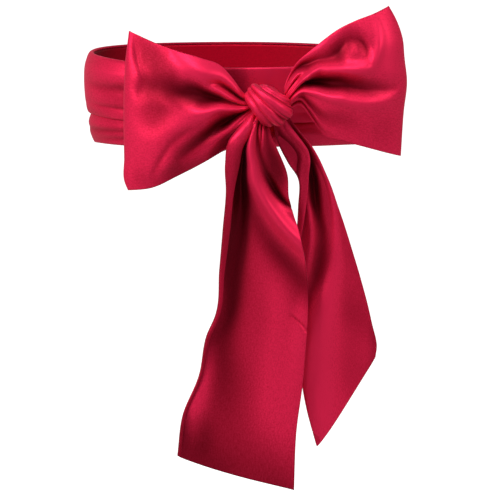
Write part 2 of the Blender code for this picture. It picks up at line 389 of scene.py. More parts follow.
# %% [markdown]
# Folds are placed one by one, as a tailor's pupil would draw them. A fold is a short table of its own:
# at each station along the strip it says where its crest lies across, how wide it is as a share of
# the strip, and how far it stands out in millimetres, a trough being negative. A noise would be
# quicker, but cloth folds have causes, and they only look right where the cloth is really pulled.

# %% Folds and dents
DENT_COLUMNS = "at across at_reach across_reach rise"


def fold(*rows):
    """One fold: rows of at, across, width, rise, in order along the strip."""
    return table("at across width rise", *rows)


def fold_relief(folds, at, across):
    """Sum over the folds of rise * exp(-((across - crest) / width) ** 2), read at the station."""
    rise = np.zeros(np.broadcast(at, across).shape)
    for row in folds:
        inside = (at >= row["at"][0]) & (at <= row["at"][-1])
        away = (across - along(row, "across", at)) / along(row, "width", at)
        rise = rise + inside * along(row, "rise", at) * np.exp(-away ** 2)
    return rise


def dent_relief(dents, at, across):
    """Sum over the dents of rise * exp(-oval ** 1.5), where oval is the squared distance in reaches."""
    rise = np.zeros(np.broadcast(at, across).shape)
    for row in zip(*(dents[name] for name in DENT_COLUMNS.split())):
        at_middle, across_middle, at_reach, across_reach, height = row
        oval = ((at - at_middle) / at_reach) ** 2 + ((across - across_middle) / across_reach) ** 2
        rise = rise + height * np.exp(-oval ** 1.5)
    return rise


def ripple(at, across, waves):
    """Slow uneven undulation: each wave is (turns along, turns across, shift, height)."""
    rise = np.zeros(np.broadcast(at, across).shape)
    for turns_along, turns_across, shift, height in waves:
        rise = rise + height * np.sin(2 * math.pi * (turns_along * at + turns_across * across + shift))
    return rise


# %% [markdown]
# The cloth's own coordinates are stored with the mesh, so the weave follows each fold. They come
# from the lengths along and across the grid. A Solidify modifier then gives the doubled cloth its
# wall, half to each side of the surface, as on the plain solids.

# %% Grid to cloth
CLOTH_WALL = 1.1 * MM
STRIP_WIDTH = 125 * MM         # cut width of the sash
FULL_RELIEF = 6.5              # a fold this deep or high gets the full painted shade or highlight


def grid_faces(rows, columns, ring):
    """Four corners of every cell, row by row, closing back to the first row on a ring."""
    row = np.arange(rows if ring else rows - 1)[:, None]
    column = np.arange(columns - 1)[None, :]
    below = (row + 1) % rows
    corners = (row * columns + column, row * columns + column + 1,
               below * columns + column + 1, below * columns + column)
    return np.stack(np.broadcast_arrays(*corners), axis=-1).reshape(-1, 4)


def cloth(name, points, across, node, relief, ring=False, inside=None, inner=0.0):
    """Make a shell from a grid of points in millimetres; across is the place across the strip.

    relief, in millimetres, is kept as the attribute "fold", which sets painted shade and highlight:
    -1 in a full hollow, 1 on a full crest. The same is kept from inner, as the attribute "inner",
    for the painted shade of a side that has the inside satin.
    """
    rows, columns = points.shape[:2]
    faces = grid_faces(rows, columns, ring)
    mesh = bpy.data.meshes.new(name)
    mesh.vertices.add(rows * columns)
    mesh.vertices.foreach_set("co", (points * MM).astype(np.float32).ravel())
    mesh.loops.add(faces.size)
    mesh.loops.foreach_set("vertex_index", faces.astype(np.int32).ravel())
    mesh.polygons.add(len(faces))
    mesh.polygons.foreach_set("loop_start", np.arange(0, faces.size, 4, dtype=np.int32))
    mesh.update(calc_edges=True)

    middle = points[:, columns // 2] * MM
    run = np.concatenate([[0.0], np.cumsum(np.linalg.norm(np.diff(middle, axis=0), axis=1))])
    step = np.linalg.norm(middle[0] - middle[-1]) if ring else 0.0
    u = np.broadcast_to(np.asarray(across) * STRIP_WIDTH, (rows, columns))
    v = np.broadcast_to(run[:, None], (rows, columns))
    uv = np.stack([u, v], axis=-1).reshape(-1, 2)[faces]
    if ring:
        last = uv[-(columns - 1):]
        last[:, 2:, 1] = run[-1] + step
    layer = mesh.uv_layers.new(name="cloth")
    layer.data.foreach_set("uv", uv.astype(np.float32).ravel())

    for attribute, height in (("fold", relief), ("inner", inner)):
        lie = mesh.attributes.new(attribute, "FLOAT", "POINT")
        share = np.clip(np.broadcast_to(height, (rows, columns)) / FULL_RELIEF, -1, 1)
        lie.data.foreach_set("value", share.astype(np.float32).ravel())

    mesh.materials.append(SATIN)
    mesh.shade_smooth()
    piece = add(name, mesh)
    shell = piece.modifiers.new("Wall", "SOLIDIFY")
    shell.thickness = CLOTH_WALL
    shell.offset = 0.0
    shell.use_even_offset = False
    if inside:
        mesh.materials.append(inside)
        shell.material_offset = 1
    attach(piece, "root")
    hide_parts(node)
    low = points.reshape(-1, 3).min(axis=0)
    high = points.reshape(-1, 3).max(axis=0)
    node_low, node_high = (np.array(corner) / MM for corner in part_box(node))
    print(f"{name}: {2 * len(faces)} triangles a side, past its solid's box by",
          np.round(np.maximum(node_low - low, high - node_high), 1), "mm")
    return piece


def surface_area(points):
    """Area of the grid in square metres: half the cross product of each cell's diagonals."""
    one = points[1:, 1:] - points[:-1, :-1]
    two = points[1:, :-1] - points[:-1, 1:]
    return float(0.5 * np.linalg.norm(np.cross(one, two), axis=-1).sum()) * MM * MM


def strip_length(points):
    """Length along the middle of the grid, in metres."""
    middle = points[:, points.shape[1] // 2]
    return float(np.linalg.norm(np.diff(middle, axis=0), axis=1).sum()) * MM

# %% [markdown]
# ## The band
# The strip is folded lengthwise and wound once round the waist. Its outer ply turns over the top
# edge and hangs to a soft rolled lip, and the inner ply shows below the lip. Both could be bent from
# flat strips, but a ring swept from a profile keeps them clear of each other. The profile is a table
# of heights and distances out from the waist's ellipse; long shallow folds run round it.

# %% Waist and band profiles
WAIST_HALF_WIDTH = 124.5
WAIST_HALF_DEPTH = 96.5
KNOT_X = 23.5                  # the bow is tied a little to one side
RING_STEPS = 440
RING_START = math.radians(-37)  # the ring starts and ends behind the right loop
HEM_LIFT = 0.24                # the lower part is this much shallower at the front
BOW_PRESS = 0.95               # the bow presses the outer ply flat behind it
BOW_REACH = 70.0
# The next values are painted shade and painted highlight, in millimetres of relief, and move no cloth
BAND_CREASE_PAINTED_LIGHT = 1.5         # the band's creases are shallow, so their painted shade and highlight count for more
BAND_SHADE = 0.6               # painted shade over the whole band
BOW_PAINTED_HIGHLIGHT = 9.0               # painted highlight on the band above the knot, as on a crest
BOW_HIGHLIGHT_SIDE = 5.0
BAND_PAINTED_LIGHT_REACH = 22.0
LOOP_SHADE = 4.0               # painted shadow of the left loop on the band
LOOP_SHADE_SIDE = 28.0
EDGE_SHADE = 0.5               # painted shade along the rear top edge, as a share of a full hollow
EDGE_REACH = 0.05
SIDE_RISE = 3.0                # the upper edge rides higher at the left side
PLY_STEP = 2.0
INNER_FADE = 1.5
INNER_TURN = math.radians(-8)   # painted shade inside the ring, darkest at its two ends, a little unevenly

BAND_UNDER = table("at height out",
                   (0.0, 34.9, 0.0), (0.3, 12.0, 0.0), (0.5, -10.5, 0.1), (0.6, -14.0, 1.2),
                   (0.7, -20.0, 3.1), (0.8, -25.3, 3.2), (0.9, -31.0, 1.8), (0.97, -35.4, 0.0),
                   (1.0, -37.0, -1.2))
BAND_FOLD = table("at height out",
                  (0.0, 35.6, -0.6), (0.03, 36.6, 0.6), (0.08, 36.0, 2.4), (0.2, 30.0, 5.0),
                  (0.4, 17.0, 6.5), (0.6, 2.5, 6.0), (0.75, -4.0, 5.3), (0.86, -8.4, 4.9),
                  (0.91, -10.6, 4.2), (0.95, -11.2, 3.1), (0.98, -10.4, 2.1), (1.0, -9.0, 1.9))
BAND_FOLD_FOLDS = (
    fold((0.62, 0.45, 0.06, 0), (0.67, 0.44, 0.06, -1.2), (0.74, 0.42, 0.06, -1.6), (0.86, 0.38, 0.05, 0)),
    fold((0.60, 0.30, 0.08, 0), (0.68, 0.28, 0.08, 0.9), (0.78, 0.26, 0.08, 0.9), (0.86, 0.25, 0.08, 0)),
    fold((0.63, 0.66, 0.05, 0), (0.70, 0.68, 0.05, -1.0), (0.80, 0.72, 0.05, -0.9), (0.86, 0.74, 0.05, 0)),
    fold((0.16, 0.55, 0.06, 0), (0.25, 0.52, 0.07, -1.3), (0.40, 0.45, 0.07, -1.3), (0.52, 0.40, 0.06, 0)),
    fold((0.22, 0.76, 0.05, 0), (0.30, 0.74, 0.05, -1.3), (0.40, 0.71, 0.05, -1.2), (0.47, 0.70, 0.05, 0)),
    fold((0.30, 0.25, 0.08, 0), (0.42, 0.28, 0.08, 1.0), (0.56, 0.32, 0.08, 0)),
    fold((0.02, 0.34, 0.06, 0), (0.10, 0.37, 0.06, -1.2), (0.20, 0.42, 0.06, -1.1), (0.27, 0.45, 0.05, 0)),
    fold((0.04, 0.66, 0.05, 0), (0.12, 0.66, 0.05, -1.3), (0.24, 0.60, 0.05, 0)),
    fold((0.86, 0.52, 0.05, 0), (0.91, 0.44, 0.05, -1.2), (0.98, 0.34, 0.05, 0)),
    fold((0.86, 0.62, 0.05, 0), (0.92, 0.67, 0.05, -1.2), (0.98, 0.72, 0.05, 0)),
)
BAND_UNDER_FOLDS = (
    fold((0.56, 0.80, 0.05, 0), (0.64, 0.79, 0.05, -1.2), (0.74, 0.77, 0.05, -1.2), (0.80, 0.76, 0.05, 0)),
    fold((0.66, 0.92, 0.04, 0), (0.72, 0.89, 0.04, -1.6), (0.78, 0.84, 0.05, -1.4), (0.84, 0.80, 0.05, 0)),
    fold((0.30, 0.76, 0.05, 0), (0.42, 0.80, 0.05, -1.3), (0.54, 0.84, 0.05, 0)),
    fold((0.08, 0.86, 0.05, 0), (0.18, 0.82, 0.05, -1.3), (0.30, 0.78, 0.05, 0)),
)
BAND_RIPPLES = ((3.0, 0.6, 0.10, 0.45), (5.0, -0.9, 0.55, 0.35), (8.0, 1.3, 0.30, 0.20))


# %% Build the band
def band_points(profile, creases, columns, pressed):
    """Ellipse of the waist moved out by the profile; folds push the cloth further out or in."""
    at = np.linspace(0, 1, RING_STEPS, endpoint=False)[:, None]
    across = np.linspace(0, 1, columns)[None, :]
    turn = RING_START + 2 * math.pi * at
    front = np.clip(-np.sin(turn), 0, 1)
    height = along(profile, "height", across)
    height = height * (1 - HEM_LIFT * front * (height < 0))
    height = height + SIDE_RISE * np.clip(-np.cos(turn), 0, 1) ** 2 * (1 - across)
    wave = ripple(at, 0 * across, ((2.0, 0, 0.2, 0.8), (5.0, 0, 0.7, 0.5), (9.0, 0, 0.4, 0.25)))
    height = height + wave * np.clip(2 * across - 1, 0, 1) ** 2
    out = along(profile, "out", across)
    loose = np.clip((across - 0.1) / 0.15, 0, 1) * np.clip((1 - across) / 0.06, 0, 1)
    creased = fold_relief(creases, at, across) + ripple(at, across, BAND_RIPPLES)
    side = WAIST_HALF_WIDTH * np.cos(turn) - KNOT_X
    press = BOW_PRESS * front * np.exp(-(side / BOW_REACH) ** 2)
    if pressed:
        out = np.where(out > PLY_STEP, PLY_STEP + (out - PLY_STEP) * (1 - press), out)
        out = np.maximum(out + loose * creased * (1 - 0.6 * press), np.minimum(out, PLY_STEP))
    else:
        below_lip = np.clip((across - 0.55) / 0.1, 0, 1)
        out = out + loose * below_lip * creased
    x = (WAIST_HALF_WIDTH + out) * np.cos(turn)
    y = (WAIST_HALF_DEPTH + out) * np.sin(turn)
    # Painted shade and highlight, in the colour only: shade along the rear top edge, a highlight above the
    # knot, the left loop's painted shadow, and shade inside the ring
    rear_edge = np.clip(np.sin(turn), 0, 1) * np.exp(-(across / EDGE_REACH) ** 2)
    smooth = front * np.exp(-((side - BOW_HIGHLIGHT_SIDE) / BAND_PAINTED_LIGHT_REACH) ** 2)
    shaded = front * np.exp(-((side + LOOP_SHADE_SIDE) / BAND_PAINTED_LIGHT_REACH) ** 2)
    relief = BAND_CREASE_PAINTED_LIGHT * loose * creased - BAND_SHADE + BOW_PAINTED_HIGHLIGHT * smooth
    relief = relief - LOOP_SHADE * shaded - EDGE_SHADE * FULL_RELIEF * rear_edge
    inner = -FULL_RELIEF * (1 - np.clip(np.sin(turn + INNER_TURN), 0, 1) ** INNER_FADE)
    return np.stack(np.broadcast_arrays(x, y, height), axis=-1), across, relief, inner


under_points, under_across, under_relief, under_inner = band_points(
    BAND_UNDER, BAND_UNDER_FOLDS, 46, False)
band_under = cloth("band_under_cloth", under_points, 0.55 * under_across, "band_under", under_relief,
                   ring=True, inside=SATIN_INSIDE_DULL_SHADED, inner=under_inner)
fold_points, fold_across, fold_ply_painted_light, fold_inner = band_points(BAND_FOLD, BAND_FOLD_FOLDS, 64, True)
band_fold = cloth("band_fold_cloth", fold_points, 0.45 * fold_across, "band_fold", fold_ply_painted_light,
                  ring=True, inside=SATIN_INSIDE_DULL_SHADED, inner=fold_inner)

# %% [markdown]
# ## The two loops
# A loop runs out from the knot, turns round at its outer end and comes back behind itself, open
# above and below. From above it is a long drop shape. The gathers spread from the knot: they are
# narrow and deep there and die out towards the outer end, so each fold's width is a share of the
# strip's height at that station, which makes it narrow at the knot without a separate rule.

# %% Loop tables
LOOP_STEPS = 300
LOOP_COLUMNS = 120
LOOP_EDGE_CLOSE = 0.50         # the two layers come this much nearer at the long edges
LOOP_EDGE_POWER = 2.5
LAYER_FADE = 0.7               # how the folds of a layer die out at the outer turn
LOOP_INSIDE_PAINTED_SHADE = -3.0             # painted shade on the inside of a loop, as in a hollow
REAR_DROP = 5.0                # the rear layer's upper edge hangs this much lower

LOOP_LEFT = table("at top bottom middle half",
                  (0.00, 14, 2, -119, 6), (0.10, 21, -14, -119, 8), (0.18, 32, -24, -119, 10),
                  (0.26, 41, -28, -119, 13), (0.42, 48, -37, -120, 19), (0.62, 54, -48, -119, 22),
                  (0.80, 60, -57, -116, 23), (1.00, 68, -61, -110, 22))
LOOP_RIGHT = table("at top bottom middle half",
                   (0.00, 24, 4, -120, 6), (0.04, 33, 6, -120, 7.5), (0.08, 39.5, 9, -120, 9),
                   (0.14, 46, 10, -120, 11), (0.22, 52, 1, -120, 14), (0.32, 59, -12, -120, 17),
                   (0.50, 70.5, -18, -120, 21), (0.68, 78, -23, -119, 23), (0.84, 82.5, -28, -115, 23),
                   (1.00, 88, -33, -110, 22))
LOOP_LEFT_END = table("at out",
                      (0.0, -88), (0.2, -91.2), (0.35, -92.4), (0.8, -92.8), (0.95, -92.6), (1.0, -90))
LOOP_RIGHT_END = table("at out",
                       (0.0, 119), (0.08, 124.5), (0.2, 130), (0.35, 132.2), (0.5, 134.3), (0.7, 132),
                       (1.0, 130))
LOOP_LEFT_ROOT = 12.0
LOOP_RIGHT_ROOT = 36.0

# %% [markdown]
# The folds of the left loop: a ridge that leaves the knot and climbs along the top edge, a deep
# hollow under it that ends in a rounded tip, a long ridge through the middle, and a second hollow
# that falls away to the lower corner. Between them lie the fine gathers next to the knot.

# %% Folds of the left loop
LEFT_FOLDS = (
    # ridge under the top edge, then the fine gather and its ridge below it
    fold((0.00, 0.10, 0.06, 0.5), (0.10, 0.08, 0.07, 2.0), (0.20, 0.08, 0.08, 3.0), (0.30, 0.11, 0.09, 4.5),
         (0.45, 0.11, 0.10, 4.5), (0.58, 0.08, 0.10, 2.5), (0.68, 0.05, 0.09, 0)),
    fold((0.00, 0.15, 0.05, -3.0), (0.09, 0.17, 0.06, -5.0), (0.17, 0.19, 0.05, -5.0),
         (0.26, 0.21, 0.045, -3.5), (0.38, 0.23, 0.04, 0)),
    fold((0.00, 0.23, 0.03, 0.5), (0.08, 0.25, 0.035, 2.0), (0.18, 0.29, 0.04, 3.5),
         (0.28, 0.28, 0.04, 3.0),
         (0.40, 0.25, 0.04, 0)),
    # the deep hollow with a rounded tip
    fold((0.00, 0.29, 0.03, -1.0), (0.12, 0.31, 0.035, -3.5), (0.20, 0.35, 0.045, -5.0),
         (0.28, 0.38, 0.06, -8.0), (0.37, 0.365, 0.09, -9.5), (0.46, 0.33, 0.11, -9.0),
         (0.56, 0.315, 0.115, -7.5), (0.70, 0.31, 0.11, -6.0), (0.81, 0.325, 0.095, -5.5),
         (0.88, 0.335, 0.08, -4.5), (0.92, 0.34, 0.06, -1.8), (0.955, 0.34, 0.04, 0)),
    # the long middle ridge
    fold((0.00, 0.37, 0.03, 1.0), (0.06, 0.37, 0.04, 2.8), (0.13, 0.415, 0.04, 4.0),
         (0.25, 0.475, 0.045, 3.6),
         (0.44, 0.50, 0.05, 1.8), (0.63, 0.48, 0.06, -0.6), (0.78, 0.48, 0.08, -0.8),
         (0.88, 0.48, 0.06, 0)),
    # the second hollow, which falls to the lower corner and forks
    fold((0.00, 0.45, 0.04, -2.5), (0.06, 0.48, 0.045, -4.5), (0.14, 0.55, 0.065, -7.5),
         (0.24, 0.66, 0.09, -8.5),
         (0.34, 0.73, 0.09, -7.5), (0.43, 0.77, 0.09, -5.5), (0.52, 0.82, 0.08, -3.5),
         (0.64, 0.89, 0.07, 0)),
    fold((0.32, 0.60, 0.04, 0), (0.44, 0.63, 0.05, -1.2), (0.55, 0.67, 0.05, -2.4),
         (0.63, 0.72, 0.06, -2.4), (0.70, 0.80, 0.065, -2.4), (0.76, 0.88, 0.06, -1.6),
         (0.81, 0.94, 0.05, 0)),
    fold((0.24, 0.53, 0.04, 0), (0.36, 0.55, 0.05, 1.0), (0.52, 0.58, 0.06, 1.0), (0.66, 0.64, 0.06, 0)),
    fold((0.36, 0.80, 0.10, 0), (0.48, 0.82, 0.12, -1.5), (0.58, 0.84, 0.12, -2.0), (0.68, 0.88, 0.10, 0)),
    fold((0.20, 1.02, 0.08, 0), (0.40, 1.02, 0.10, -2.5), (0.75, 1.02, 0.10, -2.5), (0.92, 1.02, 0.08, 0)),
    # gathers at the knot, and the crease that drops from the upper corner
    fold((0.00, 0.66, 0.03, 0.8), (0.10, 0.72, 0.03, 1.2), (0.20, 0.82, 0.04, 0)),
    fold((0.00, 0.74, 0.03, -0.8), (0.12, 0.79, 0.035, -2.0), (0.30, 0.90, 0.04, 0)),
    fold((0.00, 0.88, 0.06, -2.0), (0.14, 0.90, 0.10, -4.5), (0.26, 0.96, 0.08, -2.5),
         (0.36, 1.0, 0.06, 0)),
    fold((0.55, 0.22, 0.06, 0), (0.66, 0.16, 0.10, -3.0), (0.78, 0.12, 0.13, -6.0),
         (0.87, 0.10, 0.14, -6.5),
         (0.94, 0.08, 0.12, -4.5), (0.99, 0.03, 0.08, 0)),
    fold((0.78, 0.30, 0.05, 0), (0.86, 0.24, 0.05, -1.2), (0.92, 0.14, 0.05, -1.2), (0.97, 0.05, 0.05, 0)),
)
LEFT_DENTS = table(DENT_COLUMNS,
                   (0.77, 0.51, 0.14, 0.12, -3.2), (0.88, 0.92, 0.08, 0.08, -1.6),
                   (0.62, 0.96, 0.10, 0.06, -1.2))

# %% [markdown]
# The right loop stands higher. A shallow oval dish lies under its top edge, a bright ridge curls
# below the dish, and one long deep fold runs right across with a second ridge under it.

# %% Folds of the right loop
RIGHT_FOLDS = (
    # the shaded strip inside the top edge, which runs on round the dish
    fold((0.00, 0.08, 0.04, -0.8), (0.08, 0.11, 0.07, -3.5), (0.15, 0.15, 0.09, -6.0),
         (0.25, 0.17, 0.09, -5.5),
         (0.37, 0.18, 0.09, -5.0), (0.47, 0.17, 0.10, -6.5), (0.55, 0.12, 0.08, -4.0),
         (0.62, 0.13, 0.08, -3.5),
         (0.69, 0.21, 0.09, -3.8), (0.74, 0.30, 0.08, 0)),
    # the ridge that curls round under the dish
    fold((0.00, 0.56, 0.03, 0.8), (0.09, 0.52, 0.045, 3.0), (0.16, 0.40, 0.055, 5.5),
         (0.23, 0.28, 0.06, 6.5),
         (0.29, 0.245, 0.055, 6.0), (0.37, 0.28, 0.055, 5.5), (0.46, 0.325, 0.055, 5.5),
         (0.59, 0.365, 0.055, 5.0), (0.68, 0.36, 0.06, 4.5), (0.76, 0.30, 0.08, 3.5),
         (0.82, 0.18, 0.10, 2.2),
         (0.88, 0.06, 0.10, 0)),
    # the long deep fold and the ridge under it
    fold((0.02, 0.66, 0.03, -1.0), (0.10, 0.58, 0.045, -3.5), (0.19, 0.47, 0.065, -8.5),
         (0.29, 0.425, 0.075, -9.5), (0.42, 0.45, 0.085, -8.5), (0.54, 0.50, 0.085, -7.0),
         (0.66, 0.525, 0.08, -6.0), (0.80, 0.53, 0.065, -4.5), (0.90, 0.525, 0.055, -3.0),
         (0.97, 0.52, 0.04, 0)),
    fold((0.00, 0.80, 0.04, 1.0), (0.11, 0.70, 0.04, 3.0), (0.21, 0.60, 0.045, 3.5),
         (0.31, 0.56, 0.05, 4.0),
         (0.42, 0.585, 0.055, 4.5), (0.55, 0.63, 0.06, 4.0), (0.74, 0.64, 0.06, 2.6),
         (0.88, 0.61, 0.05, 1.6),
         (0.97, 0.56, 0.05, 0)),
    # folds of the lower edge and one slack trough above it
    fold((0.03, 0.90, 0.03, -1.5), (0.14, 0.91, 0.04, -3.2), (0.24, 0.94, 0.04, -3.2),
         (0.35, 0.97, 0.04, -1.5),
         (0.46, 1.0, 0.04, 0)),
    fold((0.10, 0.76, 0.04, 0), (0.18, 0.79, 0.06, -3.5), (0.28, 0.80, 0.07, -3.8),
         (0.40, 0.80, 0.09, -2.8),
         (0.56, 0.82, 0.10, -2.0), (0.72, 0.86, 0.10, 0)),
    # gathers at the knot
    fold((0.00, 0.26, 0.03, 0.6), (0.07, 0.25, 0.035, 2.0), (0.13, 0.24, 0.03, 0)),
    fold((0.00, 0.36, 0.03, -0.6), (0.08, 0.34, 0.035, -2.2), (0.17, 0.30, 0.03, 0)),
)
RIGHT_DENTS = table(DENT_COLUMNS,
                    (0.62, 0.23, 0.13, 0.13, -1.5), (0.88, 0.27, 0.12, 0.26, 4.0),
                    (0.84, 0.84, 0.14, 0.12, -1.4), (0.42, 0.03, 0.12, 0.05, 1.5))
REAR_FOLDS = (
    fold((0.00, 0.30, 0.04, -1.0), (0.25, 0.29, 0.06, -3.2), (0.60, 0.25, 0.07, -3.0),
         (0.95, 0.22, 0.06, 0)),
    fold((0.00, 0.50, 0.04, -1.0), (0.30, 0.54, 0.05, -3.8), (0.65, 0.53, 0.06, -3.0),
         (0.92, 0.50, 0.05, 0)),
    fold((0.00, 0.70, 0.04, -1.0), (0.30, 0.75, 0.06, -3.2), (0.60, 0.80, 0.06, -2.6),
         (0.88, 0.84, 0.06, 0)),
    fold((0.00, 0.14, 0.03, -0.8), (0.16, 0.13, 0.035, -1.8), (0.42, 0.11, 0.04, 0)),
    fold((0.00, 0.41, 0.03, -0.8), (0.16, 0.41, 0.035, -1.8), (0.42, 0.39, 0.04, 0)),
    fold((0.00, 0.86, 0.03, -0.8), (0.16, 0.88, 0.035, -1.8), (0.42, 0.92, 0.04, 0)),
)
LOOP_RIPPLES = ((1.3, 0.8, 0.15, 0.35), (2.1, -1.7, 0.60, 0.22))


# %% Build the loops
def loop_points(sections, end_line, root, folds, dents):
    """Plan is at = sin(turn), depth = half * cos(turn): front layer, outer turn, rear layer."""
    turn = np.linspace(0, math.pi, LOOP_STEPS)[:, None]
    across = np.linspace(0, 1, LOOP_COLUMNS)[None, :]
    at = np.sin(turn)
    top = along(sections, "top", at)
    tall = top - along(sections, "bottom", at)
    half = along(sections, "half", at) * np.cos(turn)
    half = half * (1 - LOOP_EDGE_CLOSE * np.abs(2 * across - 1) ** LOOP_EDGE_POWER)
    front = np.clip(np.cos(turn), 0, 1) ** LAYER_FADE
    rear = np.clip(-np.cos(turn), 0, 1) ** LAYER_FADE
    folded = fold_relief(folds, at, across) + dent_relief(dents, at, across)
    behind = fold_relief(REAR_FOLDS, at, across)
    swell = folded + ripple(at, across, LOOP_RIPPLES) * np.clip(4 * at, 0, 1)
    x = root + (along(end_line, "out", across) - root) * at
    y = along(sections, "middle", at) - half - swell * front
    y = y + behind * rear
    z = top - tall * across - REAR_DROP * rear * (1 - across) ** 3
    # The third value sets painted shade in the hollows and a painted highlight on the crests
    return np.stack(np.broadcast_arrays(x, y, z), axis=-1), across, folded * front + behind * rear


left_points, loop_across, left_relief = loop_points(LOOP_LEFT, LOOP_LEFT_END, LOOP_LEFT_ROOT,
                                                    LEFT_FOLDS, LEFT_DENTS)
left_points = left_points[::-1]     # this loop runs the other way, so its rows turn round
left_relief = left_relief[::-1]
loop_left = cloth("loop_left_cloth", left_points, loop_across, "loop_left", left_relief,
                  inside=SATIN_INSIDE_DULL_SHADED, inner=LOOP_INSIDE_PAINTED_SHADE)
right_points, _, right_relief = loop_points(LOOP_RIGHT, LOOP_RIGHT_END, LOOP_RIGHT_ROOT,
                                            RIGHT_FOLDS, RIGHT_DENTS)
loop_right = cloth("loop_right_cloth", right_points, loop_across, "loop_right", right_relief,
                   inside=SATIN_INSIDE_DULL_SHADED, inner=LOOP_INSIDE_PAINTED_SHADE)

# %% [markdown]
# ## The two tails
# Each tail leaves the knot as a narrow gather and opens out as it falls. One long margin has turned
# over to the front: it is a second layer that lies on the tail, with a round turn at its edge. The
# section is walked from the free edge of the margin, round the turn and over to the far edge, so the
# margin and the tail are one surface, as they are one cloth.

# %% Tail tables
TAIL_STEPS = 330
TAIL_CREASE_PAINTED_LIGHT = 1.2         # these four are painted shade and highlight, in millimetres of relief
TAIL_SHADE = 2.0               # painted shadow of the bow on the tails
MARGIN_LEFT_SHADE = 2.5        # painted shade on a turned margin that faces away to the side
MARGIN_RIGHT_SHADE = -1.0      # and painted light on one that faces the lamp
HEM_SAG = 2.5                  # the hem hangs lower between its corners
MARGIN_RADIUS = 1.6
MARGIN_SHARE = 0.15            # of the strip's width, taken by the turned margin
MARGIN_COLUMNS = 12
TURN_COLUMNS = 9
FLAT_COLUMNS = 92

TAIL_LEFT = table("at left left_z right right_z front flap",
                  (0.00, 12, 6, 24, 4, -122, 8), (0.05, 3, -3, 25, -12, -131.5, 10),
                  (0.10, -8, -17, 31, -26, -134, 12), (0.16, -11, -36, 38, -44, -131, 11),
                  (0.24, -10.5, -60, 40, -66, -124, 6), (0.34, -13, -90, 49, -97, -120, 5.6),
                  (0.46, -16, -125, 55, -133, -118, 4), (0.60, -20, -165, 55, -175, -117, 3),
                  (0.65, -26.5, -180, 54, -191, -117, 3), (0.75, -32.5, -212, 51.5, -222, -117, 2.5),
                  (0.88, -46.5, -248, 46.5, -264, -117, 2.5),
                  (1.00, -51, -283, 45, -312, -116, 2.5))
TAIL_RIGHT = table("at left left_z right right_z front flap",
                   (0.00, 27, 0, 36, 6, -119, 6), (0.06, 31, -20, 43, -5, -118, 10),
                   (0.12, 39, -37, 59, -25, -114, 16), (0.20, 48, -52, 70, -48, -110, 8),
                   (0.30, 48, -76, 80.5, -76, -107, 5.8), (0.45, 46, -115, 94, -118, -104, 2.5),
                   (0.60, 46, -155, 103.5, -151, -103, 2.5), (0.75, 48, -195, 109, -174, -103, 2.5),
                   (0.90, 55.5, -245, 113, -192, -103, 2.5), (1.00, 64, -277.5, 112, -202, -103, 2.5))

# %% Folds of the tails
TAIL_LEFT_FOLDS = (
    # the dark groove beside the margin, which fades out towards the middle of the hem
    fold((0.03, 0.36, 0.04, -1.5), (0.10, 0.33, 0.05, -5.5), (0.17, 0.26, 0.08, -9.0),
         (0.23, 0.23, 0.10, -9.5),
         (0.29, 0.22, 0.12, -8.0), (0.36, 0.20, 0.14, -6.5), (0.47, 0.16, 0.15, -5.0),
         (0.58, 0.15, 0.15, -4.5), (0.68, 0.19, 0.17, -2.8), (0.80, 0.26, 0.20, -1.4),
         (1.00, 0.30, 0.30, -0.6)),
    # the bright rounded ridge that sweeps to the right edge, and the pocket above it
    fold((0.00, 0.36, 0.12, 7.0), (0.05, 0.36, 0.10, 7.5), (0.09, 0.41, 0.09, 6.5), (0.14, 0.44, 0.09, 6.5),
         (0.19, 0.47, 0.11, 7.0), (0.235, 0.57, 0.13, 8.5), (0.275, 0.68, 0.15, 9.0),
         (0.315, 0.80, 0.16, 9.0),
         (0.355, 0.95, 0.17, 8.0), (0.40, 1.12, 0.17, 5.0), (0.46, 1.26, 0.17, 2.0)),
    fold((0.03, 0.52, 0.04, -1.5), (0.08, 0.565, 0.055, -2.0), (0.12, 0.59, 0.07, -2.2),
         (0.16, 0.63, 0.08, -2.8),
         (0.20, 0.72, 0.08, -4.0), (0.235, 0.84, 0.08, -4.6), (0.265, 0.98, 0.08, -3.0),
         (0.29, 1.10, 0.08, 0)),
    # the slope under the ridge
    fold((0.20, 0.32, 0.12, 0), (0.27, 0.40, 0.14, -1.5), (0.34, 0.54, 0.17, -2.0),
         (0.41, 0.74, 0.19, -2.8),
         (0.47, 0.92, 0.19, -2.4), (0.56, 1.05, 0.18, 0)),
    # the pinched pleat at the knot
    fold((0.00, 0.56, 0.025, 1.0), (0.05, 0.595, 0.03, 3.0), (0.09, 0.64, 0.02, 0)),
    fold((0.00, 0.64, 0.02, -1.0), (0.05, 0.66, 0.025, -2.5), (0.08, 0.67, 0.02, 0)),
    fold((0.00, 0.71, 0.025, 1.0), (0.05, 0.72, 0.03, 2.5), (0.085, 0.69, 0.03, 1.5),
         (0.105, 0.66, 0.02, 0)),
    # slow swells of the lower part, and one small crease at the right edge
    fold((0.44, 0.60, 0.14, 0), (0.55, 0.68, 0.16, 1.6), (0.66, 0.72, 0.18, 2.2), (0.76, 0.74, 0.18, 2.0),
         (0.86, 0.74, 0.16, 1.2), (1.00, 0.76, 0.15, 0)),
    fold((0.66, 0.05, 0.07, 0), (0.76, 0.06, 0.09, 2.5), (0.85, 0.08, 0.11, 3.2), (0.92, 0.10, 0.11, 2.0),
         (1.00, 0.10, 0.10, 0)),
    fold((0.555, 0.80, 0.03, 0), (0.57, 0.85, 0.035, -1.0), (0.585, 0.93, 0.04, -1.6),
         (0.61, 1.02, 0.04, -1.0)),
    fold((0.48, 0.96, 0.06, 0), (0.58, 0.95, 0.10, 2.2), (0.80, 0.94, 0.12, 1.5), (1.00, 0.92, 0.12, 0)),
)
